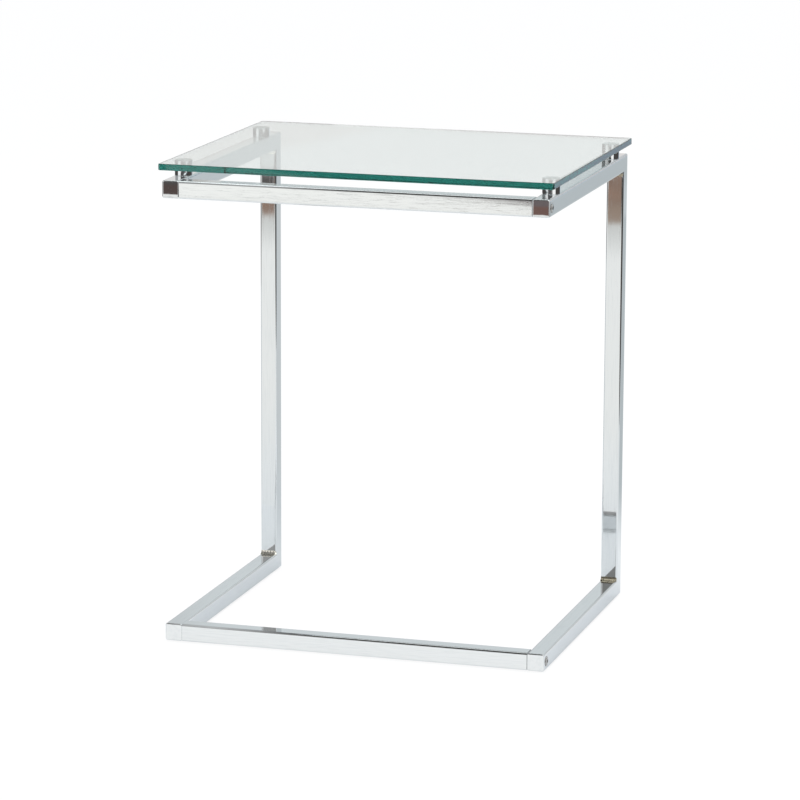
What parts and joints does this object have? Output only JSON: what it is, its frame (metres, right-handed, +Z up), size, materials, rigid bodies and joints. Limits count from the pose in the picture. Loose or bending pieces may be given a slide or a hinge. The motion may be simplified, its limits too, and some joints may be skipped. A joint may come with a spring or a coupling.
{
  "type": "side table",
  "caption": "Side table with a clear glass top on round standoffs over a C-shaped frame of chromed square tube, open at the front and sides, on low glides.",
  "frame": {"origin": "on the floor, under the middle of the glass top", "axes": "+Z up, front of the table towards -Y, +X to the right seen from the front"},
  "size_m": [0.5, 0.4, 0.6043],
  "materials": {
    "clear_glass": "clear tempered glass, flat polished edges that look deep green",
    "chromed_tube": "bright polished chrome on square tube",
    "chromed_plate": "bright polished chrome, ground flush",
    "chromed_standoff": "bright polished chrome, turned",
    "plated_bolt": "bright zinc plating",
    "plain_steel": "bare machined steel",
    "clear_adhesive": "clear cured adhesive",
    "glide_plastic": "pale translucent plastic"
  },
  "bodies": {
    "root": {"glass_top": "clear_glass", "left_top_rail": "chromed_tube", "left_upright": "chromed_tube", "left_base_rail": "chromed_tube", "left_top_end_plate": "chromed_plate", "left_top_crossbar_plug": "plain_steel", "left_top_crossbar_bolt": "plated_bolt", "left_bottom_end_plate": "chromed_plate", "left_bottom_crossbar_plug": "plain_steel", "left_bottom_crossbar_bolt": "plated_bolt", "front_left_standoff": "chromed_standoff", "front_left_adhesive_film": "clear_adhesive", "front_left_standoff_screw": "plated_bolt", "front_left_glide": "glide_plastic", "rear_left_standoff": "chromed_standoff", "rear_left_adhesive_film": "clear_adhesive", "rear_left_standoff_screw": "plated_bolt", "rear_left_glide": "glide_plastic", "right_top_rail": "chromed_tube", "right_upright": "chromed_tube", "right_base_rail": "chromed_tube", "right_top_end_plate": "chromed_plate", "right_top_crossbar_plug": "plain_steel", "right_top_crossbar_bolt": "plated_bolt", "right_bottom_end_plate": "chromed_plate", "right_bottom_crossbar_plug": "plain_steel", "right_bottom_crossbar_bolt": "plated_bolt", "front_right_standoff": "chromed_standoff", "front_right_adhesive_film": "clear_adhesive", "front_right_standoff_screw": "plated_bolt", "front_right_glide": "glide_plastic", "rear_right_standoff": "chromed_standoff", "rear_right_adhesive_film": "clear_adhesive", "rear_right_standoff_screw": "plated_bolt", "rear_right_glide": "glide_plastic", "top_crossbar": "chromed_tube", "bottom_crossbar": "chromed_tube"}
  },
  "joints": []
}
